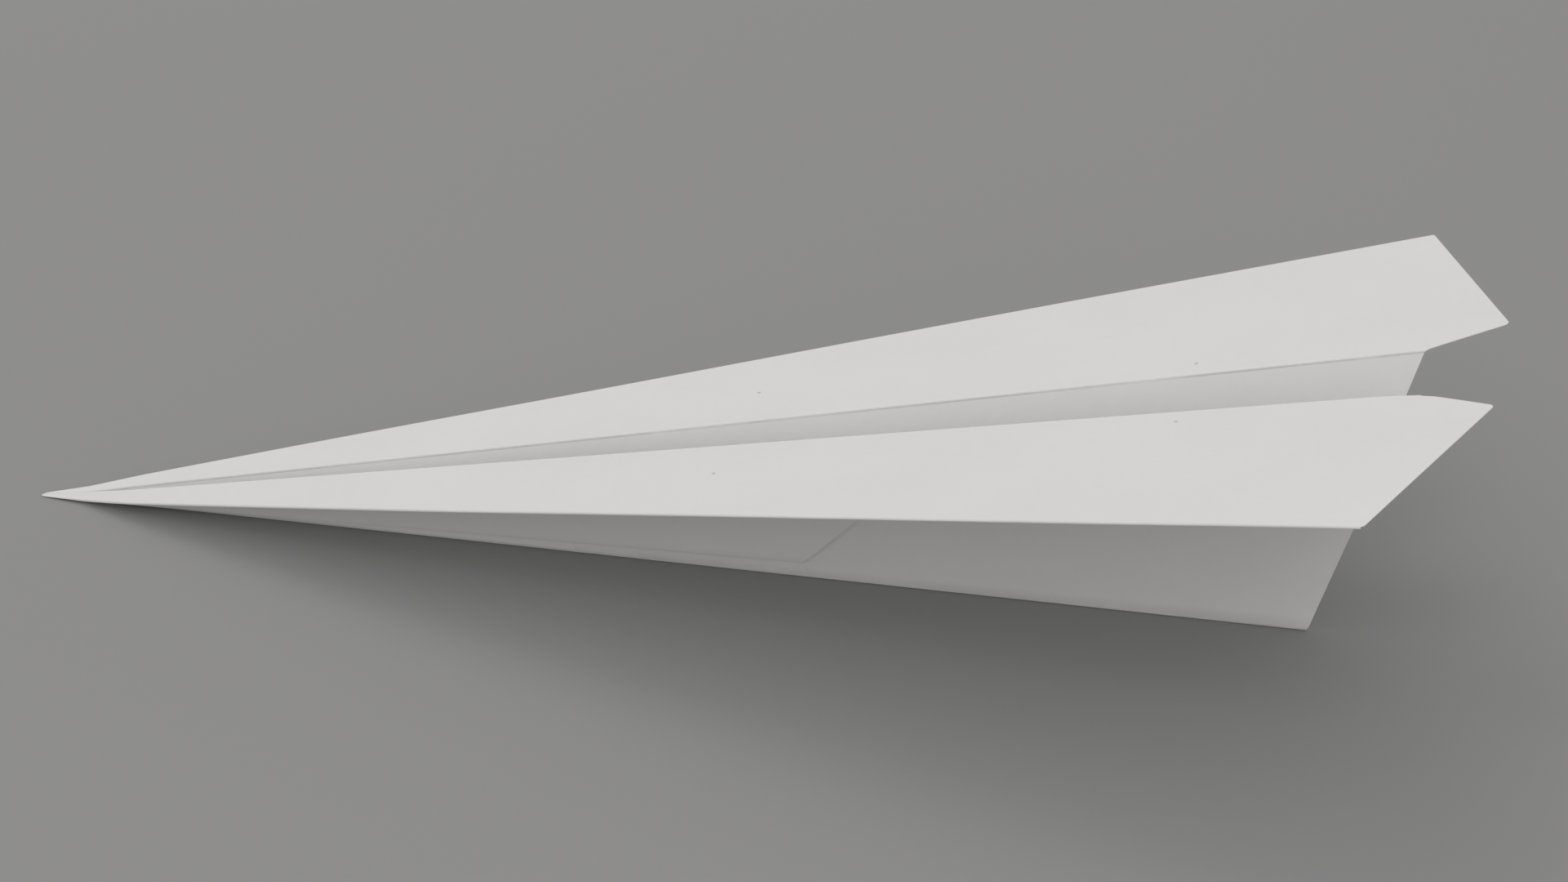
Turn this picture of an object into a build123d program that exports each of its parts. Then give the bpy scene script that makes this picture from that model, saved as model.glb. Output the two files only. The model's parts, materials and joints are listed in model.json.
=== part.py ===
from build123d import *
import os
from math import cos, hypot, radians, sin, tan

# Paper dart folded from one letter sheet, resting on its keel, millimetres.
# +Z up, nose towards -X, +Y is the aeroplane's right side.
# The sheet is one piece of paper: the flat facets between its creases are the
# rigid pieces, and the creases are the hinges.

# ---- driving dimensions -------------------------------------------------
SHEET_WIDTH = 215.9           # letter sheet, measured across both wings before folding
FIRST_FOLD = 45.0             # degrees from the keel: the front corners fold in here
LEADING_EDGE = 23.27          # degrees from the keel: the second fold, the wing's front edge
WING_CREASE = 11.70           # degrees from the keel: the wing folds away from the wall
KEEL_LENGTH = 246.4           # along the bottom fold
CREASE_LENGTH = 269.1         # along the wing crease, nose to tail
REAR_CORNER = (276.3, 65.07)  # wing's rearmost corner on the flat half sheet
WALL_LEAN = 9.93              # degrees each wall leans out from vertical
WING_ANGLE = 100.3            # degrees between wall and wing, on the outer side

PAPER = 0.10                  # sheet thickness
PITCH = 0.15                  # from one folded layer to the next, with the air between
LAYERS = 4
KEEL_RADIUS = 0.50            # outer radius of the rounded bottom fold
GAP = 0.10                    # running clearance beside a moving crease
KEEL_CLEARANCE = 0.40         # wall plates start this far above the keel's hinge axis
FACET_FRONT = 9.0             # facets start here; the pinched tip is ahead of it
FLAP_FRONT = 14.0             # the side flaps start here, where they clear the keel fold
TIP_LENGTH = 7.8              # leaves room for the leading edges to swing
TIP_RADIUS = 0.45             # the tip's blunt front
REAR_CORNER_RADIUS = 1.3      # the wing's rearmost corner is softened by handling
WING_TIP_RADIUS = 0.4         # the corner at the end of the leading edge stays crisp

# ---- derived dimensions -------------------------------------------------
HALF_SHEET = SHEET_WIDTH / 2
STACK = (LAYERS - 1) * PITCH + PAPER
INNER_FACE = KEEL_RADIUS - PAPER
FOLD_ARC = (KEEL_RADIUS - PAPER / 2) * radians(90 - WALL_LEAN)
HINGE_INSET = STACK / tan(radians(WING_ANGLE / 2))
EDGE_RADIUS = STACK / 2
SMALL_FOLD_RADIUS = (PITCH + PAPER) / 2
FLAP_FOOT = 2 * LEADING_EDGE - FIRST_FOLD   # direction of the side flap's lower fold


# ---- flat drawing of the folded half sheet ------------------------------
# x runs along the keel from the nose, y towards the wing's edge; a line is
# a point with a direction.

def on_ray(angle, distance):
    """The point at this distance from the nose along a fold direction."""
    return (distance * cos(radians(angle)), distance * sin(radians(angle)))


def ray(angle, shift=0.0):
    """A fold line through the nose, moved sideways by shift towards the wing's edge."""
    start = (-shift * sin(radians(angle)), shift * cos(radians(angle)))
    return start, on_ray(angle, 1.0)


def through(first, second):
    return first, (second[0] - first[0], second[1] - first[1])


def meet(line_a, line_b):
    (ax, ay), (ux, uy) = line_a
    (bx, by), (vx, vy) = line_b
    along = ((bx - ax) * vy - (by - ay) * vx) / (ux * vy - uy * vx)
    return (ax + along * ux, ay + along * uy)


def facet_outline(lower, upper, rear, front_x=FACET_FRONT):
    """Corners of a facet between two fold lines, from the front cut to its rear edge."""
    front = ((front_x, 0), (0, 1))
    low_corner = meet(lower, through(rear[0], rear[1]))
    high_corner = meet(upper, through(rear[-2], rear[-1]))
    return [meet(lower, front), low_corner, *rear[1:-1], high_corner, meet(upper, front)]


def side_edge_point(sheet_angle, folded_angle):
    """Where the sheet's long side edge lies once its ray has been folded elsewhere."""
    return on_ray(folded_angle, HALF_SHEET / sin(radians(sheet_angle)))


KEEL_TAIL = (KEEL_LENGTH, 0)
CREASE_TAIL = on_ray(WING_CREASE, CREASE_LENGTH)
WING_TIP = side_edge_point(LEADING_EDGE, LEADING_EDGE)


def layer_reach(layer, angle):
    """End of folded layer 1, 2 or 3 along a direction of the folded half sheet."""
    sheet_angle = {
        1: 90 - angle,
        2: 90 - (2 * LEADING_EDGE - angle),
        3: 2 * LEADING_EDGE - angle,
    }[layer]
    return side_edge_point(sheet_angle, angle)


# ---- where the folded facets stand in space -----------------------------

class Side:
    """Planes and axes of one half: sign is +1 for the right side, -1 for the left."""

    def __init__(self, sign):
        lean = radians(WALL_LEAN)
        opening = radians(WING_ANGLE)
        crease = radians(WING_CREASE)
        self.sign = sign
        self.outward = Vector(0, sign * cos(lean), -sin(lean))
        self.up_wall = Vector(0, sign * sin(lean), cos(lean))
        keel_axis = Vector(0, 0, KEEL_RADIUS)
        self.origin = keel_axis + self.outward * INNER_FACE - self.up_wall * FOLD_ARC
        forward = Vector(1, 0, 0)
        self.crease = forward * cos(crease) + self.up_wall * sin(crease)
        self.above = self.up_wall * cos(crease) - forward * sin(crease)
        self.span = self.outward * sin(opening) - self.above * cos(opening)
        self.wing_up = self.outward * cos(opening) + self.above * sin(opening)
        self.hinge = self.origin + self.outward * STACK - self.above * HINGE_INSET

    def wall_point(self, flat, depth):
        """A flat-sheet point on the wall, depth outwards from its inner face."""
        x, y = flat
        return self.origin + Vector(x, 0, 0) + self.up_wall * y + self.outward * depth

    def wing_point(self, flat, depth):
        """A flat-sheet point on the wing, depth below its top face."""
        x, y = flat
        turn = radians(WING_CREASE)
        along = x * cos(turn) + y * sin(turn)
        across = y * cos(turn) - x * sin(turn)
        return self.origin + self.crease * along + self.span * across - self.wing_up * depth


def plate(corners, thickness_vector):
    """A sheet facet: the outline through its corners, carried along its thickness."""
    outline = make_face(Polyline(*corners, close=True))
    return extrude(outline, amount=thickness_vector.length, dir=thickness_vector.normalized())


def wall_plate(side, layer, outline):
    corners = [side.wall_point(point, layer * PITCH) for point in outline]
    return plate(corners, side.outward * PAPER)


def wing_plate(side, layer, outline):
    corners = [side.wing_point(point, layer * PITCH) for point in outline]
    return plate(corners, side.wing_up * -PAPER)


def rounded_tail(solid, side):
    """Soften the two corners that the sheet shows at the back of the wing."""
    for corner, radius in ((REAR_CORNER, REAR_CORNER_RADIUS), (WING_TIP, WING_TIP_RADIUS)):
        place = side.wing_point(corner, PAPER / 2)
        upright = [edge for edge in solid.edges() if edge.length < 2 * PAPER]
        solid = fillet(min(upright, key=lambda edge: (edge.center() - place).length), radius)
    return solid


# ---- facets -------------------------------------------------------------

CORNER = HINGE_INSET + GAP
WALL_FOOT = ray(0, FOLD_ARC + KEEL_CLEARANCE)
WALL_TOP = ray(WING_CREASE, -CORNER)
WING_ROOT = ray(WING_CREASE, CORNER)
WING_EDGE = ray(LEADING_EDGE, -EDGE_RADIUS)
FLAP_LOWER = ray(FLAP_FOOT, SMALL_FOLD_RADIUS)


def wall_facets(side):
    """Layer 0 is the wall itself; layers 1 to 3 are flaps folded over its outer face."""
    base = facet_outline(WALL_FOOT, WALL_TOP, [KEEL_TAIL, CREASE_TAIL])
    facets = {"wall_base": wall_plate(side, 0, base)}
    rear = [layer_reach(1, 0), layer_reach(1, WING_CREASE)]
    facets["wall_corner_flap"] = wall_plate(side, 1, facet_outline(WALL_FOOT, WALL_TOP, rear))
    for layer, name in {2: "side_flap_inner", 3: "side_flap_outer"}.items():
        rear = [layer_reach(layer, FLAP_FOOT), layer_reach(layer, WING_CREASE)]
        outline = facet_outline(FLAP_LOWER, WALL_TOP, rear, FLAP_FRONT)
        facets[name] = wall_plate(side, layer, outline)
    return facets


def wing_facets(side):
    """Layer 0 is the wing's top sheet; layers 1 to 3 are folded beneath it."""
    rear = [CREASE_TAIL, REAR_CORNER, WING_TIP]
    base = wing_plate(side, 0, facet_outline(WING_ROOT, WING_EDGE, rear))
    facets = {"wing_base": rounded_tail(base, side)}
    names = {1: "wing_corner_flap", 2: "wing_flap_inner", 3: "wing_flap_outer"}
    for layer, name in names.items():
        rear = [layer_reach(layer, WING_CREASE), layer_reach(layer, LEADING_EDGE)]
        outline = facet_outline(WING_ROOT, WING_EDGE, rear)
        facets[name] = wing_plate(side, layer, outline)
    return facets


# ---- folds --------------------------------------------------------------

def bend(centre, spread, outer, inner, run, length):
    """A sheet bent about centre through three directions, carried along run."""
    first, middle, last = spread
    edges = [ThreePointArc(*(centre + way * outer for way in spread))]
    if inner > 0:
        edges.append(Line(centre + last * outer, centre + last * inner))
        edges.append(ThreePointArc(*(centre + way * inner for way in (last, middle, first))))
        edges.append(Line(centre + first * inner, centre + first * outer))
    else:
        edges.append(Line(centre + last * outer, centre))
        edges.append(Line(centre, centre + first * outer))
    return extrude(make_face(Wire(edges)), amount=length, dir=run)


def turned_edge(place, face_normal, sign, start, reach, inset, radius):
    """A half-round turned edge from start to reach on the flat sheet, set in from its line."""
    centre = place((start[0] + inset[0], start[1] + inset[1]))
    end = place((reach[0] + inset[0], reach[1] + inset[1]))
    run = (end - centre).normalized()
    bulge = run.cross(face_normal) * -sign
    spread = (face_normal, bulge, -face_normal)
    return bend(centre, spread, radius, radius - PAPER, run, (end - centre).length)


def wing_edge_fold(side, radius, reach):
    """A turned edge along the wing's leading edge, centred on the stack of layers."""
    inset = on_ray(LEADING_EDGE - 90, EDGE_RADIUS)
    start = on_ray(LEADING_EDGE, FACET_FRONT)

    def place(flat):
        return side.wing_point(flat, EDGE_RADIUS)

    return turned_edge(place, side.wing_up, side.sign, start, reach, inset, radius)


def side_flap_fold(side):
    """The lower edge of the side flap, where its inner and outer layers meet."""
    radius = SMALL_FOLD_RADIUS
    inset = on_ray(FLAP_FOOT + 90, radius)
    start = on_ray(FLAP_FOOT, FLAP_FRONT)

    def place(flat):
        return side.wall_point(flat, 2 * PITCH + radius)

    reach = layer_reach(2, FLAP_FOOT)
    return turned_edge(place, side.outward, side.sign, start, reach, inset, radius)


def creases(side):
    """The strips that bend from wall to wing, one for each folded layer."""
    names = ["wing_crease", "corner_flap_crease", "inner_flap_crease", "outer_flap_crease"]
    centre = side.hinge + side.crease * FACET_FRONT
    middle = (side.wing_up - side.outward).normalized()
    spread = (-side.outward, middle, side.wing_up)
    strips = {}
    for layer, name in enumerate(names):
        reach = CREASE_LENGTH if layer == 0 else hypot(*layer_reach(layer, WING_CREASE))
        outer = STACK - layer * PITCH
        inner = max(outer - PAPER, 0)
        strips[name] = bend(centre, spread, outer, inner, side.crease, reach - FACET_FRONT)
    return strips


def keel_fold(right, left):
    """The rounded bottom fold that the aeroplane stands on."""
    centre = Vector(FACET_FRONT, 0, KEEL_RADIUS)
    spread = (right.outward, Vector(0, 0, -1), left.outward)
    length = KEEL_LENGTH - FACET_FRONT
    return bend(centre, spread, KEEL_RADIUS, INNER_FACE, Vector(1, 0, 0), length)


def nose_tip(right, left):
    """The pinched point where every crease meets, from a blunt front to the facets."""
    edge = (TIP_LENGTH, TIP_LENGTH * tan(radians(LEADING_EDGE)))
    root = (TIP_LENGTH, TIP_LENGTH * tan(radians(WING_CREASE)))
    right_half = [right.wing_point(edge, STACK), right.wing_point(edge, 0), right.wing_point(root, 0)]
    left_half = [left.wing_point(root, 0), left.wing_point(edge, 0), left.wing_point(edge, STACK)]
    outline = [(0, 0)] + [(point.Y, point.Z) for point in right_half + left_half]
    rear = Plane(origin=(TIP_LENGTH, 0, 0), x_dir=(0, 1, 0), z_dir=(1, 0, 0))
    front = Plane(origin=(0, 0, TIP_RADIUS), x_dir=(0, 1, 0), z_dir=(1, 0, 0))
    rear_face = rear * make_face(Polyline(*outline, close=True))
    front_face = front * RegularPolygon(TIP_RADIUS, len(outline), rotation=-90)
    return loft([front_face, rear_face], ruled=True)


# ---- assembly -----------------------------------------------------------

def build():
    right, left = Side(1), Side(-1)
    nodes = {"keel_fold": keel_fold(right, left), "nose_tip": nose_tip(right, left)}
    for name, side in {"right": right, "left": left}.items():
        parts = {**wall_facets(side), **wing_facets(side), **creases(side)}
        parts["side_flap_fold"] = side_flap_fold(side)
        parts["leading_edge_fold"] = wing_edge_fold(side, EDGE_RADIUS, WING_TIP)
        inner_reach = layer_reach(1, LEADING_EDGE)
        parts["inner_edge_fold"] = wing_edge_fold(side, SMALL_FOLD_RADIUS, inner_reach)
        for part_name, part in parts.items():
            nodes[name + "_" + part_name] = part
    return nodes


def centred(nodes):
    """Put the origin on the ground under the middle of the aeroplane's box."""
    box = Compound(children=[Compound(obj=node.wrapped) for node in nodes.values()]).bounding_box()
    shift = Location((-(box.min.X + box.max.X) / 2, 0, -box.min.Z))
    return {name: shift * node for name, node in nodes.items()}


os.makedirs("parts", exist_ok=True)
for node_name, node in centred(build()).items():
    export_step(node, "parts/" + node_name + ".step")
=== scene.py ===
import json
import math

import bmesh
import bpy
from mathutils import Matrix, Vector, noise
from mathutils.geometry import convex_hull_2d


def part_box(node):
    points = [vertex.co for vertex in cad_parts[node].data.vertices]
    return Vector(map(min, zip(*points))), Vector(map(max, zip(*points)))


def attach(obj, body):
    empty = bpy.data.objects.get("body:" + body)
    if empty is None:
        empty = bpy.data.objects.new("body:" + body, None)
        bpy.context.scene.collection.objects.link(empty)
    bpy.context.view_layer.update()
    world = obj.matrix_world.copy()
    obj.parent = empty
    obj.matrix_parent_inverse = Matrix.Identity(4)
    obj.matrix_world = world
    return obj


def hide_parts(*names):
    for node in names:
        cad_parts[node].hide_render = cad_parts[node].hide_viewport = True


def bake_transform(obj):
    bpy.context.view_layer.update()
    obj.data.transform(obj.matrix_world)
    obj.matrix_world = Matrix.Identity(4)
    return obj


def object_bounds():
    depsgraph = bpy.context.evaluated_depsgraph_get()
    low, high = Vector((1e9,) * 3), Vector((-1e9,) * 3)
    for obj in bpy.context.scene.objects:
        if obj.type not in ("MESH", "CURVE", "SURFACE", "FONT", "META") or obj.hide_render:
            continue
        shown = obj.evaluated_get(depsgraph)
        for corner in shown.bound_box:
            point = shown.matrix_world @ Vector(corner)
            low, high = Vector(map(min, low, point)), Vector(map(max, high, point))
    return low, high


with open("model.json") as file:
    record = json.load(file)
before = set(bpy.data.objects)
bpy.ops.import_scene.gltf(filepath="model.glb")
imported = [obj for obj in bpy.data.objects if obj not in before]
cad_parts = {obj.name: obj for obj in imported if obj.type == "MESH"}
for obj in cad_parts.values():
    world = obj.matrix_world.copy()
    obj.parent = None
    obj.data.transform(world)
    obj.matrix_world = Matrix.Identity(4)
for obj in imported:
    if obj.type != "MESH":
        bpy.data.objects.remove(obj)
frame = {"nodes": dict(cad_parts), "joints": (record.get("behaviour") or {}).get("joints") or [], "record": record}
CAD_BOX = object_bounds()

# A folded paper dart, in metres, built as the sheets of paper that it is.
# Every sheet is a list of rows. A row is a straight line from nose to tail,
# and the rows go from one free edge of the sheet over its folds to the other.

MM = 0.001

# ---- detail of the meshes ----
COLUMNS = 72              # steps from nose to tail
FACET_ROWS = 22           # steps across a facet
FOLD_STEPS = 10           # steps round a fold

# ---- how the real paper departs from flat ----
WALL_WAVE = 0.22 * MM     # height of the slow waves in a wall
WING_WAVE = 0.13 * MM     # height of the slow waves in a wing
WAVE_GAIN = 1.6           # brings the noise up to about one
WALL_RIPPLE = (70 * MM, 45 * MM)                     # length of the waves, along and across
WING_RIPPLE = (80 * MM, 50 * MM)
WALL_PLACE = {"right": 4.1, "left": 2.1}             # where in the noise each one lies
WING_PLACE = {"right": 10.0, "left": 5.4}
NOSE_SAG = {"right": -0.45 * MM, "left": 1.25 * MM}  # of the leading edge, dying out to the tail
NOSE_SAG_POWER = 1.3      # and how fast
BOW = {"right": -0.26 * MM, "left": 0.04 * MM}       # its sag at mid length
TAIL_LIFT = {"right": 0.08 * MM, "left": 0.40 * MM}  # and how far its tail end stands up
TAIL_SHARE = 0.25         # share of its length that stands up
SAG_SLOPE = 0.14          # steepest the leading edge may sag, so it stays above the ground
SAG_OVERRUN = 1.05        # the sag grows a little past the leading edge
TAIL_CURL = {"right": 0.05 * MM, "left": 0.30 * MM}  # how far the crease's tail end droops
CURL_REACH = 5 * MM       # and over what distance
RIDGE = 0.06 * MM         # the crease stands proud by this much
KEEL_SHADE = 0.6           # how grey the bottom fold is painted: painted shade along the keel
EDGE_WEAR = 0.25          # how grey the turned edges and the nose are rubbed
SHADED_BEND = 0.5           # share of the crease's bend that is painted grey as painted crease shade
CREASE_SHADE_WIDTH = 0.16 * MM   # width of the painted shade line below it, at the tail
EDGE_TUCK = 0.25 * MM     # the turned leading edge stops this far ahead of the rounded corner
FLAP_LIFT = 0.16 * MM     # how far the side flap's free edge stands off
LIFT_START = 0.55         # share of the flap's length where that starts
CREASE_GAP = 0.20 * MM    # room between the layer under the wing and the side flap
CALM_NOSE = 60 * MM       # the waves grow from nothing over this length
CALM_CREASE = 9 * MM      # and over this distance from a crease
SHARP_ANGLE = 38          # degrees: bends above this are shaded as edges

# ---- the pinched nose ----
APEX_SHIFT = -0.3 * MM    # the tip's place to the side
APEX_RISE = 0.15          # and its height, as a share of the keel hinge's
TIP_WIDTH = 0.32          # size of the tip's section, as a share of the section behind it
TIP_HEIGHT = 0.04
TIP_STEPS = (0.0, 0.006, 0.02, 0.045, 0.075, 0.12, 0.18, 0.28, 0.42, 0.60, 0.80)
SIDE_FLAP_STEPS = (0.42, 0.60, 0.80)                 # the side flap stops short of the tip
TIP_ROUND = 0.12          # share of the nose length that is rounded off
TIP_BLUNT = 0.05          # square of the tip's smallest size, so that it doesn't end in a line
CORE_SHARE = 0.45         # length of the pinched core, as a share of the CAD nose
CORE_WIDTH = 0.35 * MM
CORE_HEIGHT = (0.10 * MM, 0.45 * MM)                 # height of its middle, front and rear
CORE_SWELL = 2.4          # the core is at full width after 1 / 2.4 of its length
CORE_BULGE = 0.8          # its half height, as a share of its middle's height
CORE_RINGS, CORE_SIDES = 12, 20
WELD = 0.0001 * MM        # points closer than this are one
PINCH = 0.88              # share of the gap between the walls that the pinch takes away
PINCH_END = 8 * MM        # the nose is fully pinched up to here
PINCH_RUN = 12 * MM       # and the walls part over this length


def smooth(share):
    """Eases from 0 to 1, and stays there outside that span."""
    share = min(max(share, 0.0), 1.0)
    return share * share * (3 - 2 * share)


def mix(a, b, share):
    return a + (b - a) * share


# ---- what the frame says ----

RECORD = frame["record"]
JOINTS = {joint["name"]: joint for joint in frame["joints"]}
MOUNTS = {mount["name"]: mount for mount in RECORD["mounts"]}
NOSE_X = CAD_BOX[0].x
TAIL_X = CAD_BOX[1].x
KEEL_AXIS = Vector(JOINTS["right_wall_fold"]["pos_m"])
KEEL_LOW, KEEL_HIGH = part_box("keel_fold")
TIP_LOW, TIP_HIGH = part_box("nose_tip")
APEX = Vector((NOSE_X, APEX_SHIFT, APEX_RISE * KEEL_AXIS.z))


class Side:
    """Directions and the wing's hinge line of one half of the dart."""

    def __init__(self, name, sign):
        joint = JOINTS[name + "_wing_fold"]
        self.name = name
        self.sign = sign
        self.outward = Vector(MOUNTS[name + "_grip"]["axis"]).normalized()
        self.wing_up = Vector(MOUNTS[name + "_wing_top"]["axis"]).normalized()
        self.crease = (Vector(joint["axis"]) * sign).normalized()
        self.above = self.crease.cross(self.outward).normalized() * sign
        self.span = self.wing_up.cross(self.crease).normalized() * sign
        self.hinge = Vector(joint["pos_m"])
        self.turn = math.acos(-self.outward.dot(self.wing_up))
        self.nose = (APEX - self.hinge).dot(self.crease)
        self.reach = (Vector((TAIL_X, 0, 0)) - self.hinge).dot(self.crease) - self.nose
        crease_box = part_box(self.node("wing_crease"))
        tail = (crease_box[1].x - self.hinge.x) / self.crease.x
        self.crease_tail = self.hinge + self.crease * tail

    def node(self, part):
        return self.name + "_" + part

    def wall_wave(self, flat):
        """How far the wall stands out of flat at a point (along, across) of its drawing."""
        along, across = flat[0] - self.nose, -flat[1]
        foot = along * math.tan(self.keel_angle()) - across
        calm = smooth(along / CALM_NOSE) * smooth(across / CALM_CREASE) * smooth(foot / CALM_CREASE)
        place = Vector((along / WALL_RIPPLE[0], across / WALL_RIPPLE[1], WALL_PLACE[self.name]))
        return WALL_WAVE * calm * noise.noise(place) * WAVE_GAIN

    def wing_wave(self, flat):
        """How far the wing stands out of flat, with the sag of its leading edge."""
        along, across = flat[0] - self.nose, flat[1]
        calm = smooth(along / CALM_NOSE) * smooth(across / CALM_CREASE)
        place = Vector((along / WING_RIPPLE[0], across / WING_RIPPLE[1], WING_PLACE[self.name]))
        share = min(max(along / self.reach, 0.0), 1.0)
        edge = max(along, MM) * math.tan(self.keel_angle())
        sag = NOSE_SAG[self.name] * (1 - share) ** NOSE_SAG_POWER
        sag += BOW[self.name] * math.sin(math.pi * share)
        sag -= TAIL_LIFT[self.name] * smooth((share - 1) / TAIL_SHARE + 1)
        sag = min(sag, SAG_SLOPE * max(along, 0.0)) * min(across / edge, SAG_OVERRUN)
        return WING_WAVE * calm * noise.noise(place) * WAVE_GAIN - sag

    def pinch(self, point):
        """How far the walls' pinch at the nose draws a point in to the middle."""
        closing = 1 - smooth((point.x - NOSE_X - PINCH_END) / PINCH_RUN)
        crease_rise = self.crease.z / self.crease.x
        top = self.hinge.z + (point.x - self.hinge.x) * crease_rise - KEEL_AXIS.z
        height = min(max(point.z - KEEL_AXIS.z, 0.0), max(top, 0.0))
        wall = KEEL_AXIS.z - KEEL_LOW.z - height * self.outward.z / abs(self.outward.y)
        return Vector((0, -self.sign * PINCH * closing * min(abs(point.y), wall), 0))

    def curl(self, point):
        """How far the tail end of the crease droops."""
        away = (point - self.crease_tail).length / CURL_REACH
        return Vector((0, 0, -TAIL_CURL[self.name] * (1 - smooth(away))))

    def keel_angle(self):
        """The angle between the crease and the keel."""
        return math.acos(self.crease.x)


SIDES = [Side("right", 1), Side("left", -1)]


class Row:
    """One straight line of a sheet's middle surface, with the sheet's normal there."""

    def __init__(self, front, rear, normal, flat_front, flat_rear, kind="fold", wear_and_shade=0.0):
        self.front, self.rear, self.normal = front, rear, normal
        self.flat_front, self.flat_rear = flat_front, flat_rear
        self.kind, self.wear_and_shade = kind, wear_and_shade


class Facet:
    """The outline of a flat CAD node, drawn in its own plane from the hinge line."""

    def __init__(self, side, part, kind, normal_sign=1):
        self.side, self.kind = side, kind
        self.across = side.above if kind == "wall" else side.span
        self.up = -side.outward if kind == "wall" else side.wing_up
        self.normal = self.up * normal_sign
        points = [v.co - side.hinge for v in frame["nodes"][side.node(part)].data.vertices]
        depths = [p.dot(self.up) for p in points]
        self.depth = (min(depths) + max(depths)) / 2
        self.paper = max(depths) - min(depths)
        flat = [(p.dot(side.crease), p.dot(self.across)) for p in points]
        flat = list(dict.fromkeys((round(x, 7), round(y, 7)) for x, y in flat))
        hull = [flat[i] for i in convex_hull_2d(flat)]
        self.front, self.rear = self.split(hull)
        lengths = [math.dist(a, b) for a, b in zip(self.rear, self.rear[1:])]
        total = sum(lengths)
        self.shares = [sum(lengths[:i]) / total for i in range(len(self.rear))]

    @staticmethod
    def split(hull):
        """The two front corners, low then high, and the rear path in the same order."""
        first, second = sorted(hull)[:2]
        low, high = sorted((first, second), key=lambda p: p[1])
        start = hull.index(low)
        turned = hull[start:] + hull[:start]
        if turned[1] == high:
            turned = [turned[0]] + turned[:0:-1]
        return (low, high), turned[1:-1]

    def rear_at(self, share):
        for i in range(len(self.rear) - 1):
            low, high = self.shares[i], self.shares[i + 1]
            if share <= high or i == len(self.rear) - 2:
                part = (share - low) / (high - low)
                a, b = self.rear[i], self.rear[i + 1]
                return (mix(a[0], b[0], part), mix(a[1], b[1], part))

    def point(self, flat):
        side = self.side
        return side.hinge + side.crease * flat[0] + self.across * flat[1] + self.up * self.depth

    def row(self, share):
        low, high = self.front
        front = (mix(low[0], high[0], share), mix(low[1], high[1], share))
        rear = self.rear_at(share)
        return Row(self.point(front), self.point(rear), self.normal, front, rear, self.kind)

    def rows(self):
        steps = {i / FACET_ROWS for i in range(FACET_ROWS + 1)} | set(self.shares)
        return [self.row(share) for share in sorted(steps)]


def crease_rows(side, wall, wing, ridge=0.0):
    """The bend from wall to wing, round the hinge line, with a slight ridge along it."""
    low, high = wall.row(1.0), wing.row(0.0)
    rows = []
    for i in range(FOLD_STEPS + 1):
        share = i / FOLD_STEPS
        angle = share * side.turn
        way = side.above * math.sin(angle) - side.outward * math.cos(angle)
        ends = []
        for a, b in ((low.flat_front, high.flat_front), (low.flat_rear, high.flat_rear)):
            ends.append(mix(a[0], b[0], share))
        arc = angle * wall.depth
        radius = wall.depth + ridge * math.sin(math.pi * share)
        front, rear = (side.hinge + side.crease * end + way * radius for end in ends)
        # painted crease shade: the bend is darkened from its wall side, fading out part way round
        darkened = 1 - smooth(share / SHADED_BEND)
        rows.append(Row(front, rear, way, (ends[0], arc), (ends[1], arc), wear_and_shade=darkened))
    return rows


def turned_rows(side, upper, lower, edge_share, away, tuck=0.0):
    """A sheet turned round the edge that two facets share, from upper to lower.

    The turn stops short of the upper facet's tail by tuck, where the corner is rounded."""
    top, bottom = upper.row(edge_share), lower.row(edge_share)
    radius = (top.front - bottom.front).dot(upper.normal) / 2
    run = (top.rear - top.front).normalized()
    bulge = upper.normal.cross(run).normalized()
    bulge = bulge if bulge.dot(away) > 0 else -bulge
    rows = []
    for i in range(1, FOLD_STEPS + 1):
        angle = math.pi * i / FOLD_STEPS
        way = upper.normal * math.cos(angle) + bulge * math.sin(angle)
        shift = way * radius - upper.normal * radius
        front, rear = top.front + shift, top.rear + shift - run * tuck * math.sin(angle / 2)
        rows.append(Row(front, rear, way, top.flat_front, top.flat_rear, top.kind, wear_and_shade=EDGE_WEAR))
    return rows


def keel_rows(side):
    """Half of the rounded bottom fold, from the middle out to the wall."""
    radius = KEEL_AXIS.z - KEEL_LOW.z - PAPER / 2
    down = Vector((0, 0, -1))
    sweep = down.angle(side.outward)
    rows = []
    for i in range(FOLD_STEPS + 1):
        angle = sweep * i / FOLD_STEPS
        way = down * math.cos(angle) + Vector((0, side.sign, 0)) * math.sin(angle)
        ends = (KEEL_LOW.x, KEEL_HIGH.x)
        front, rear = (Vector((x, 0, KEEL_AXIS.z)) + way * radius for x in ends)
        arc = radius * angle
        # painted shade: the whole keel fold is darkened
        rows.append(Row(front, rear, -way, (front.x, arc), (rear.x, arc), wear_and_shade=KEEL_SHADE))
    return rows


PAPER = Facet(SIDES[0], "wing_base", "wing").paper


def nose_point(front, share):
    """A point ahead of a row's front, drawn in towards the blunt tip, and its shrinkage."""
    rounding = 1.0
    if share < TIP_ROUND:
        rounding = math.sqrt(max(1 - (1 - share / TIP_ROUND) ** 2, TIP_BLUNT))
    width = mix(TIP_WIDTH, 1, share) * rounding
    height = mix(TIP_HEIGHT, 1, share) * rounding
    offset = front - APEX
    x = mix(APEX.x, front.x, share)
    return Vector((x, APEX.y + offset.y * width, APEX.z + offset.z * height)), min(width, height)


def lifted(side, row, share):
    """A point of a row with the paper's waves, the pinch and the curl added."""
    point = mix(row.front, row.rear, share)
    flat = tuple(mix(a, b, share) for a, b in zip(row.flat_front, row.flat_rear))
    if row.kind == "wall":
        point = point + side.outward * side.wall_wave(flat)
    elif row.kind == "wing":
        point = point + side.wing_up * side.wing_wave(flat)
    return point + side.pinch(point) + side.curl(point), flat


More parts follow.
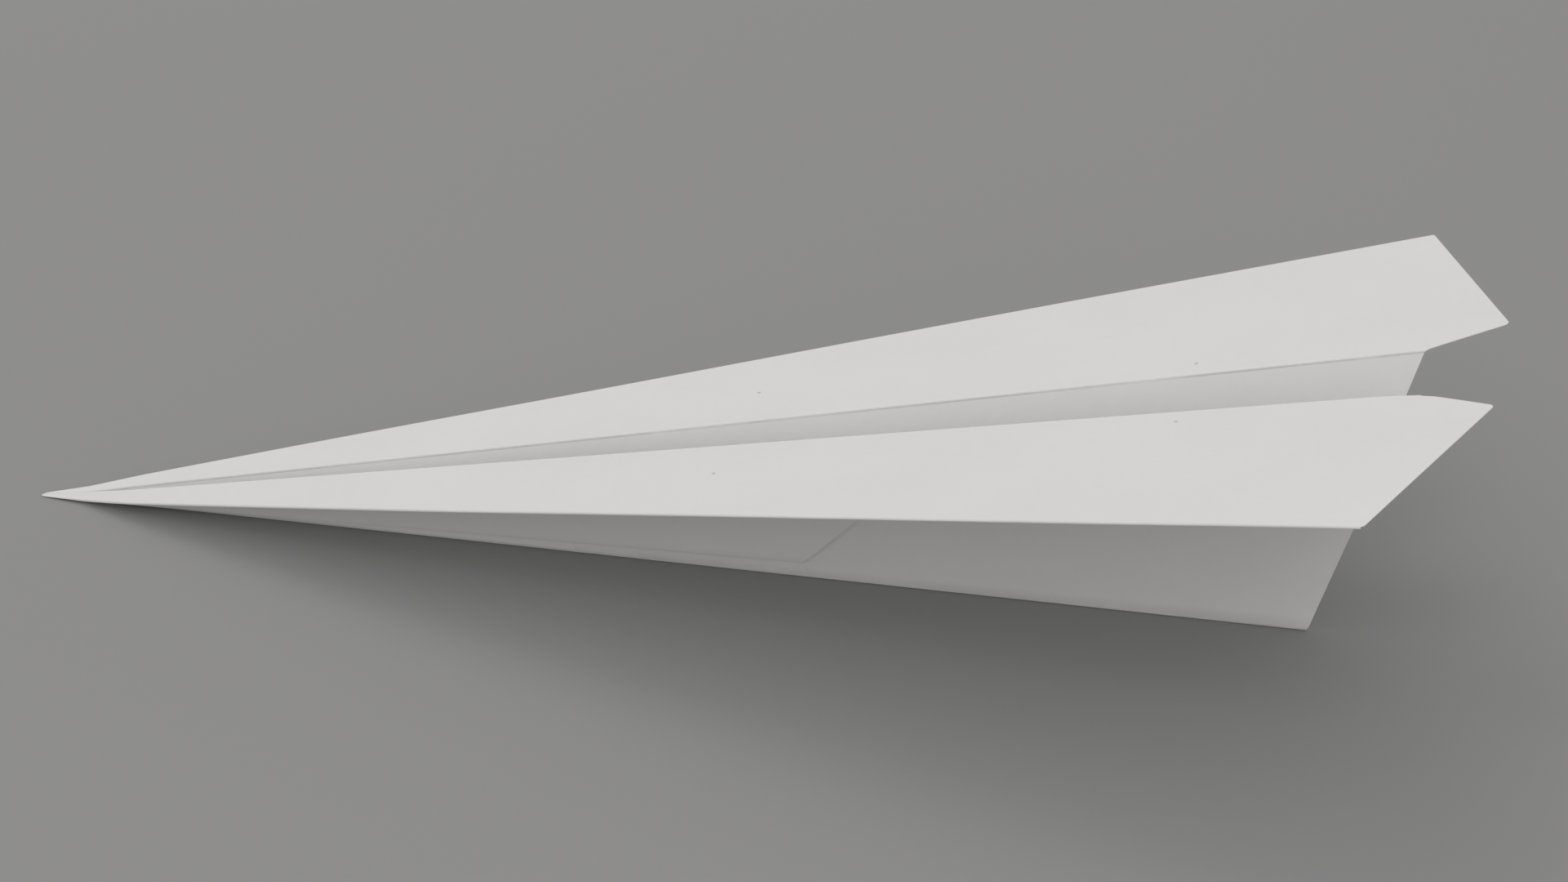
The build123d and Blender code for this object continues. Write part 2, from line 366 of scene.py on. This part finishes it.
def sheet(name, side, rows, lift=None, tip_steps=TIP_STEPS):
    """A closed sheet of paper through its rows, with a drawing coordinate and its wear and painted shade on it.

    The tip steps say how far it reaches into the nose: 0 is the tip, none stops at the facets."""
    mesh_data = bmesh.new()
    # per-point darkening: rubbed wear on the turned edges and the nose, painted shade in the crease and along the
    # keel
    wear_and_shade_layer = mesh_data.verts.layers.float.new("wear_and_shade")
    uv_layer = mesh_data.loops.layers.uv.new("sheet")
    flats = {}
    grids = []
    for face_sign in (1, -1):
        grid = []
        for row in rows:
            line = []
            columns = [(None, share) for share in tip_steps]
            columns += [(i / COLUMNS, 1.0) for i in range(COLUMNS + 1)]
            for along, share in columns:
                point, flat = lifted(side, row, along or 0.0)
                size = 1.0
                if along is None:
                    point, size = nose_point(point, share)
                    flat = (mix(side.nose, flat[0], share), flat[1] * size)
                elif lift:
                    point = point + lift(along, flat)
                vert = mesh_data.verts.new(point + row.normal * (face_sign * size * PAPER / 2))
                vert[wear_and_shade_layer] = row.wear_and_shade
                flats[vert] = flat
                line.append(vert)
            grid.append(line)
        grids.append(grid)
    top, bottom = grids
    last_row, last_column = len(rows) - 1, len(top[0]) - 1
    for j in range(last_row):
        for i in range(last_column):
            mesh_data.faces.new((top[j][i], top[j][i + 1], top[j + 1][i + 1], top[j + 1][i]))
            mesh_data.faces.new(
                (bottom[j][i], bottom[j + 1][i], bottom[j + 1][i + 1], bottom[j][i + 1]))
    for j in range(last_row):
        for i in (0, last_column):
            mesh_data.faces.new((top[j][i], top[j + 1][i], bottom[j + 1][i], bottom[j][i]))
    for i in range(last_column):
        for j in (0, last_row):
            mesh_data.faces.new((top[j][i], bottom[j][i], bottom[j][i + 1], top[j][i + 1]))
    bmesh.ops.recalc_face_normals(mesh_data, faces=mesh_data.faces)
    for face in mesh_data.faces:
        for loop in face.loops:
            loop[uv_layer].uv = flats[loop.vert]
    return finished(name, mesh_data)


def finished(name, mesh_data):
    """The finished mesh as a smooth-shaded piece in the scene."""
    mesh = bpy.data.meshes.new(name)
    mesh_data.to_mesh(mesh)
    mesh_data.free()
    piece = bpy.data.objects.new(name, mesh)
    bpy.context.scene.collection.objects.link(piece)
    mesh.shade_smooth()
    mesh.set_sharp_from_angle(angle=math.radians(SHARP_ANGLE))
    return piece


# ---- materials ----
# Noise scales are in waves per metre of the sheet's drawing, shares are 0 to 1.

CLOUD_SCALE, FORMATION_SCALE, GRAIN_SCALE = 45.0, 420.0, 3200.0
CLOUD_TONE, FORMATION_TONE, GRAIN_TONE = 0.5, 0.35, 0.25
FORMATION_RELIEF, FIBRE_RELIEF, GRAIN_RELIEF = 0.6, 0.9, 0.35
FIBRE_ANGLES = (12, 71, 134)                         # degrees
FIBRE_ALONG, FIBRE_ACROSS, FIBRE_POWER = 260, 4200, 3.0
SPECK_SCALE, SPECK_SIZE, SPECK_RARITY, SPECK_DEPTH = 95.0, 0.035, 0.93, 0.5
SPECK_COLOR = (0.35, 0.33, 0.30, 1)
# grey from the per-point darkening: rubbed wear on the turned edges and the nose, painted shade in the crease and
# along the keel
RUB_AND_SHADE_SCALE, RUB_AND_SHADE_START, RUB_AND_SHADE_SHARPNESS, RUB_AND_SHADE_LEAST, RUB_AND_SHADE_DEPTH = 55.0, 0.36, 5.0, 0.25, 0.30
RUB_AND_SHADE_COLOR = (0.36, 0.36, 0.35, 1)
BUMP_STRENGTH, BUMP_DISTANCE = 0.22, 0.06 * MM
PAPER_ROUGHNESS, ROUGHNESS_RANGE, PAPER_SPECULAR = 0.78, 0.2, 0.25
SHEEN, SHEEN_ROUGHNESS = 0.08, 0.6
SEE_THROUGH = 0.10                                   # share of the light that goes through

PAPER_LIGHT, PAPER_SHADE, PAPER_SEED = (0.87, 0.87, 0.865, 1), (0.79, 0.79, 0.785, 1), 0.37
FOLD_LIGHT, FOLD_SHADE, FOLD_SEED = (0.84, 0.84, 0.835, 1), (0.76, 0.76, 0.755, 1), 0.91

FLOOR_DARK, FLOOR_PALE = (0.288, 0.288, 0.288, 1), (0.308, 0.308, 0.308, 1)
FLOOR_SCALE, FLOOR_ROUGHNESS, FLOOR_SPECULAR = 1.4, 0.75, 0.2


class Nodes:
    """Shorthand for building a node tree."""

    def __init__(self, name):
        self.material = bpy.data.materials.new(name)
        self.material.use_nodes = True
        self.tree = self.material.node_tree
        self.tree.nodes.clear()

    def add(self, kind, **values):
        node = self.tree.nodes.new(kind)
        for key, value in values.items():
            if hasattr(node, key):
                setattr(node, key, value)
            else:
                node.inputs[key.replace("_", " ")].default_value = value
        return node

    def link(self, source, target):
        self.tree.links.new(source, target)

    def math(self, operation, first, second=None, clamp=False):
        node = self.tree.nodes.new("ShaderNodeMath")
        node.operation = operation
        node.use_clamp = clamp
        for socket, value in zip(node.inputs, (first, second)):
            if value is None:
                continue
            if isinstance(value, (int, float)):
                socket.default_value = value
            else:
                self.link(value, socket)
        return node.outputs[0]

    def weighted(self, first, second):
        """The sum of two values, each given with its weight."""
        return self.math("ADD", self.math("MULTIPLY", *first), self.math("MULTIPLY", *second))

    def noise(self, vector, scale, detail, roughness=0.55):
        node = self.add("ShaderNodeTexNoise", Scale=scale, Detail=detail, Roughness=roughness)
        self.link(vector, node.inputs["Vector"])
        return node.outputs["Fac"]

    def stretched(self, vector, angle, along, across):
        """The drawing coordinate turned and squeezed, for fibres that lie one way."""
        node = self.add("ShaderNodeMapping")
        node.inputs["Rotation"].default_value = (0, 0, math.radians(angle))
        node.inputs["Scale"].default_value = (along, across, 1)
        self.link(vector, node.inputs["Vector"])
        return node.outputs["Vector"]

    def mix_color(self, share, first, second):
        node = self.add("ShaderNodeMix", data_type="RGBA")
        for socket, value in zip((node.inputs[6], node.inputs[7]), (first, second)):
            if isinstance(value, tuple):
                socket.default_value = value
            else:
                self.link(value, socket)
        self.link(share, node.inputs[0])
        return node.outputs[2]


def paper_material(name, light, shade, seed):
    """Uncoated white office paper: cloudy formation, fine grain, fibres, specks, worn turned edges and nose, and
    painted shade in the crease and along the keel.
    """
    nodes = Nodes(name)
    uv = nodes.add("ShaderNodeUVMap", uv_map="sheet")
    place = nodes.add("ShaderNodeVectorMath", operation="ADD")
    nodes.link(uv.outputs["UV"], place.inputs[0])
    place.inputs[1].default_value = (seed, seed * 0.7, seed * 1.3)
    drawing = place.outputs["Vector"]

    cloud = nodes.noise(drawing, CLOUD_SCALE, detail=3.0)
    formation = nodes.noise(drawing, FORMATION_SCALE, detail=5.0, roughness=0.65)
    grain = nodes.noise(drawing, GRAIN_SCALE, detail=3.0, roughness=0.7)
    fibres = None
    for angle in FIBRE_ANGLES:
        lain = nodes.stretched(drawing, angle, FIBRE_ALONG, FIBRE_ACROSS)
        strand = nodes.math("POWER", nodes.noise(lain, 1.0, detail=2.0), FIBRE_POWER)
        fibres = strand if fibres is None else nodes.math("ADD", fibres, strand)

    specks = nodes.add("ShaderNodeTexVoronoi", feature="F1", Scale=SPECK_SCALE)
    nodes.link(drawing, specks.inputs["Vector"])
    near = nodes.math("LESS_THAN", specks.outputs["Distance"], SPECK_SIZE)
    apart = nodes.add("ShaderNodeSeparateColor")
    nodes.link(specks.outputs["Color"], apart.inputs["Color"])
    chosen = nodes.math("GREATER_THAN", apart.outputs[0], SPECK_RARITY)
    speck = nodes.math("MULTIPLY", near, chosen)

    # darkening: rubbed wear on the turned edges and the nose, painted shade in the crease and along the keel
    darkened = nodes.add("ShaderNodeAttribute", attribute_name="wear_and_shade")
    patches = nodes.noise(drawing, RUB_AND_SHADE_SCALE, detail=4.0, roughness=0.7)
    patches = nodes.math("SUBTRACT", patches, RUB_AND_SHADE_START)
    patches = nodes.math("MULTIPLY", patches, RUB_AND_SHADE_SHARPNESS, clamp=True)
    rub_and_shade = nodes.math("MULTIPLY", darkened.outputs["Fac"], nodes.math("ADD", RUB_AND_SHADE_LEAST, patches))

    tone = nodes.weighted((cloud, CLOUD_TONE), (formation, FORMATION_TONE))
    tone = nodes.math("ADD", tone, nodes.math("MULTIPLY", grain, GRAIN_TONE), clamp=True)
    base = nodes.mix_color(tone, shade, light)
    # painted shade and rubbed wear mixed into the colour
    base = nodes.mix_color(nodes.math("MULTIPLY", rub_and_shade, RUB_AND_SHADE_DEPTH), base, RUB_AND_SHADE_COLOR)
    base = nodes.mix_color(nodes.math("MULTIPLY", speck, SPECK_DEPTH), base, SPECK_COLOR)

    height = nodes.weighted((formation, FORMATION_RELIEF), (fibres, FIBRE_RELIEF))
    height = nodes.math("ADD", height, nodes.math("MULTIPLY", grain, GRAIN_RELIEF))
    bump = nodes.add("ShaderNodeBump", Strength=BUMP_STRENGTH, Distance=BUMP_DISTANCE)
    nodes.link(height, bump.inputs["Height"])

    surface = nodes.add("ShaderNodeBsdfPrincipled")
    surface.inputs["Specular IOR Level"].default_value = PAPER_SPECULAR
    surface.inputs["Sheen Weight"].default_value = SHEEN
    surface.inputs["Sheen Roughness"].default_value = SHEEN_ROUGHNESS
    nodes.link(base, surface.inputs["Base Color"])
    uneven = nodes.math("MULTIPLY", formation, ROUGHNESS_RANGE)
    rough = nodes.math("ADD", PAPER_ROUGHNESS, uneven, clamp=True)
    nodes.link(rough, surface.inputs["Roughness"])
    nodes.link(bump.outputs["Normal"], surface.inputs["Normal"])

    through = nodes.add("ShaderNodeBsdfTranslucent")
    nodes.link(base, through.inputs["Color"])
    nodes.link(bump.outputs["Normal"], through.inputs["Normal"])
    both = nodes.add("ShaderNodeMixShader")
    both.inputs[0].default_value = SEE_THROUGH
    nodes.link(surface.outputs[0], both.inputs[1])
    nodes.link(through.outputs[0], both.inputs[2])
    out = nodes.add("ShaderNodeOutputMaterial")
    nodes.link(both.outputs[0], out.inputs["Surface"])
    return nodes.material


def floor_material():
    """Matte pale grey, very slightly cloudy."""
    nodes = Nodes("floor_grey")
    where = nodes.add("ShaderNodeTexCoord")
    cloud = nodes.noise(where.outputs["Object"], FLOOR_SCALE, detail=2.0)
    base = nodes.mix_color(cloud, FLOOR_DARK, FLOOR_PALE)
    surface = nodes.add("ShaderNodeBsdfPrincipled", Roughness=FLOOR_ROUGHNESS)
    surface.inputs["Specular IOR Level"].default_value = FLOOR_SPECULAR
    nodes.link(base, surface.inputs["Base Color"])
    out = nodes.add("ShaderNodeOutputMaterial")
    nodes.link(surface.outputs[0], out.inputs["Surface"])
    return nodes.material


# ---- the pieces of one side ----

def wall_piece(side):
    """The upright wall with its half of the keel fold."""
    facet = Facet(side, "wall_base", "wall")
    # painted crease shade: a thin darkened line on the wall just below the crease
    below_crease = facet.row(1 - CREASE_SHADE_WIDTH / (facet.rear[-1][1] - facet.rear[0][1]))
    shaded_crease_row = facet.row(1.0)
    # the crease row is fully darkened as painted crease shade
    shaded_crease_row.wear_and_shade = 1.0
    flat_rows = facet.rows()
    # painted shade along the keel, fading out up the wall's lowest rows
    flat_rows[0].wear_and_shade = KEEL_SHADE
    rows = keel_rows(side) + flat_rows[:-1] + [below_crease, shaded_crease_row]
    piece = sheet(side.node("wall_sheet"), side, rows)
    side.node("wall")
    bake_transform(piece)
    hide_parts(side.node("wall_base"), "keel_fold")
    return piece


def wing_piece(side):
    """The wing's top sheet, from the crease over the wing and round its leading edge.

    The row that the turn ends in is handed on, for the layer below to start from."""
    wall, wing = Facet(side, "wall_base", "wall"), Facet(side, "wing_base", "wing")
    under = Facet(side, "wing_flap_outer", "wing", -1)
    shaded_crease_row = wall.row(1.0)
    # the crease row is fully darkened as painted crease shade
    shaded_crease_row.wear_and_shade = 1.0
    rows = [shaded_crease_row] + crease_rows(side, wall, wing, RIDGE) + wing.rows()
    rows += turned_rows(side, wing, under, 1.0, side.span, EDGE_TUCK)
    piece = sheet(side.node("wing_sheet"), side, rows)
    side.node("wall")
    side.node("wing")
    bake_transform(piece)
    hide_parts(*(side.node(n) for n in ("wing_base", "leading_edge_fold", "wing_crease")))
    return piece, rows[-1]


def under_piece(side, edge_row):
    """The sheet's outer layer, turned back under the wing almost as far as the crease."""
    facet = Facet(side, "wing_flap_outer", "wing", -1)
    short = facet.row(CREASE_GAP / (facet.rear[-1][1] - facet.rear[0][1]))
    rows = [edge_row] + facet.rows()[-2:0:-1] + [short]
    piece = sheet(side.node("wing_underflap"), side, rows)
    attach(piece, side.node("wing"))
    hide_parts(side.node("wing_flap_outer"), side.node("outer_flap_crease"))
    return piece


def corner_piece(side):
    """The folded front corner of the sheet, held between the other layers."""
    wall, wing = Facet(side, "wall_corner_flap", "wall"), Facet(side, "wing_corner_flap", "wing")
    inner = Facet(side, "wing_flap_inner", "wing", -1)
    rows = wall.rows() + crease_rows(side, wall, wing) + wing.rows()
    rows += turned_rows(side, wing, inner, 1.0, side.span)
    rows += inner.rows()[-2::-1]
    piece = sheet(side.node("corner_flap"), side, rows, tip_steps=())
    side.node("wall")
    side.node("wing")
    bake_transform(piece)
    parts = ("wall_corner_flap", "wing_corner_flap", "wing_flap_inner", "inner_edge_fold",
             "corner_flap_crease", "inner_flap_crease")
    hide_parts(*(side.node(n) for n in parts))
    return piece


def side_flap_piece(side):
    """The doubled flap that lies against the wall, open at its tail edge."""
    inner = Facet(side, "side_flap_inner", "wall")
    outer = Facet(side, "side_flap_outer", "wall", -1)
    rows = inner.rows()[::-1]
    rows += turned_rows(side, inner, outer, 0.0, -side.above)
    rows += outer.rows()[1:]

    def lift(share, flat):
        held = smooth(-flat[1] / CALM_CREASE)
        return side.outward * FLAP_LIFT * smooth((share - LIFT_START) / (1 - LIFT_START)) * held

    piece = sheet(side.node("side_flap"), side, rows, lift, SIDE_FLAP_STEPS)
    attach(piece, side.node("side_flap"))
    parts = ("side_flap_inner", "side_flap_outer", "side_flap_fold")
    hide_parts(*(side.node(n) for n in parts))
    return piece


def nose_piece():
    """The pinched paper core that closes the nose between the sheets."""
    mesh_data = bmesh.new()
    wear_and_shade_layer = mesh_data.verts.layers.float.new("wear_and_shade")
    uv_layer = mesh_data.loops.layers.uv.new("sheet")
    length = CORE_SHARE * (TIP_HIGH.x - TIP_LOW.x)
    rings = []
    for i in range(CORE_RINGS + 1):
        share = i / CORE_RINGS
        swell = math.sqrt(1 - (1 - min(share * CORE_SWELL, 1.0)) ** 2)
        middle_height = mix(CORE_HEIGHT[0], CORE_HEIGHT[1], share)
        ring = []
        for k in range(CORE_SIDES):
            angle = 2 * math.pi * k / CORE_SIDES
            y = CORE_WIDTH * swell * math.cos(angle)
            z = middle_height * (1 + CORE_BULGE * swell * math.sin(angle))
            ring.append(mesh_data.verts.new((NOSE_X + length * share, y, z)))
        rings.append(ring)
    for a, b in zip(rings, rings[1:]):
        for k in range(CORE_SIDES):
            after = (k + 1) % CORE_SIDES
            mesh_data.faces.new((a[k], a[after], b[after], b[k]))
    mesh_data.faces.new(rings[-1])
    bmesh.ops.remove_doubles(mesh_data, verts=mesh_data.verts, dist=WELD)
    bmesh.ops.recalc_face_normals(mesh_data, faces=mesh_data.faces)
    for vert in mesh_data.verts:
        vert[wear_and_shade_layer] = EDGE_WEAR
    for face in mesh_data.faces:
        for loop in face.loops:
            loop[uv_layer].uv = (loop.vert.co.x, loop.vert.co.y)
    piece = finished("nose_tip_core", mesh_data)
    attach(piece, "keel")
    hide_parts("nose_tip")
    return piece


# ---- stage ----

CAMERA_AZIMUTH, CAMERA_ELEVATION = 13.24, 25.24      # degrees
CAMERA_AIM = Vector((148.09, 1.50, 26.83)) * MM      # from under the nose's tip
CAMERA_DISTANCE = 755 * MM
SENSOR_WIDTH, LENS = 36.0, 93.75                     # as cameras are named, in millimetres
CLIP_NEAR, CLIP_FAR = 0.05, 50

FLOOR_HALF = 6.0
FLOOR_DROP = 0.02 * MM                               # the floor lies this far below the keel

WORLD_COLOR, WORLD_STRENGTH = (1.0, 0.985, 0.98, 1), 0.605
LIGHTS = (                # name, place from the dart's middle, size, watts, colour
    ("overhead", Vector((-0.5, 0.9, 0.9)), 0.8, 3.1, (1.0, 0.99, 0.985)),
    ("front_high", Vector((0.3, -1.0, 1.0)), 0.9, 4.2, (1.0, 0.985, 0.98)),
    ("front_low", Vector((0.55, -1.15, 0.45)), 0.8, 1.7, (1.0, 0.98, 0.975)),
)


def stage_floor():
    mesh = bpy.data.meshes.new("floor")
    corners = [(x * FLOOR_HALF, y * FLOOR_HALF, 0) for x, y in ((-1, -1), (1, -1), (1, 1), (-1, 1))]
    mesh.from_pydata(corners, [], [(0, 1, 2, 3)])
    floor = bpy.data.objects.new("floor", mesh)
    floor.location.z = CAD_BOX[0].z - FLOOR_DROP
    bpy.context.scene.collection.objects.link(floor)
    mesh.materials.append(floor_material())


def area_light(name, place, target, size, watts, color):
    light = bpy.data.lights.new(name, "AREA")
    light.shape = "DISK"
    light.size, light.energy, light.color = size, watts, color
    lamp = bpy.data.objects.new(name, light)
    lamp.location = place
    lamp.rotation_mode = "QUATERNION"
    lamp.rotation_quaternion = (target - place).to_track_quat("-Z", "Y")
    bpy.context.scene.collection.objects.link(lamp)


def stage_camera():
    azimuth, elevation = math.radians(CAMERA_AZIMUTH), math.radians(CAMERA_ELEVATION)
    back = Vector((
        math.sin(azimuth) * math.cos(elevation),
        -math.cos(azimuth) * math.cos(elevation),
        math.sin(elevation),
    ))
    aim = Vector((NOSE_X, 0, 0)) + CAMERA_AIM
    data = bpy.data.cameras.new("camera")
    data.sensor_width, data.lens = SENSOR_WIDTH, LENS
    data.clip_start, data.clip_end = CLIP_NEAR, CLIP_FAR
    camera = bpy.data.objects.new("camera", data)
    camera.location = aim + back * CAMERA_DISTANCE
    camera.rotation_mode = "QUATERNION"
    camera.rotation_quaternion = (-back).to_track_quat("-Z", "Y")
    bpy.context.scene.collection.objects.link(camera)
    bpy.context.scene.camera = camera


def stage_world():
    world = bpy.data.worlds.new("studio")
    world.use_nodes = True
    sky = world.node_tree.nodes["Background"]
    sky.inputs["Color"].default_value = WORLD_COLOR
    sky.inputs["Strength"].default_value = WORLD_STRENGTH
    bpy.context.scene.world = world


# ---- build ----

paper = paper_material("white_paper", PAPER_LIGHT, PAPER_SHADE, PAPER_SEED)
worn_paper = paper_material("white_paper_fold", FOLD_LIGHT, FOLD_SHADE, FOLD_SEED)

pieces = [nose_piece()]
for half in SIDES:
    wing, edge = wing_piece(half)
    pieces += [wall_piece(half), wing, under_piece(half, edge)]
    pieces += [corner_piece(half), side_flap_piece(half)]
for piece in pieces:
    is_core = piece.name == "nose_tip_core"
    piece.data.materials.append(worn_paper if is_core else paper)

stage_floor()
stage_camera()
stage_world()
middle = (CAD_BOX[0] + CAD_BOX[1]) / 2
for light_name, place, size, watts, color in LIGHTS:
    area_light(light_name, middle + place, middle, size, watts, color)
bpy.context.scene.view_settings.view_transform = "Standard"
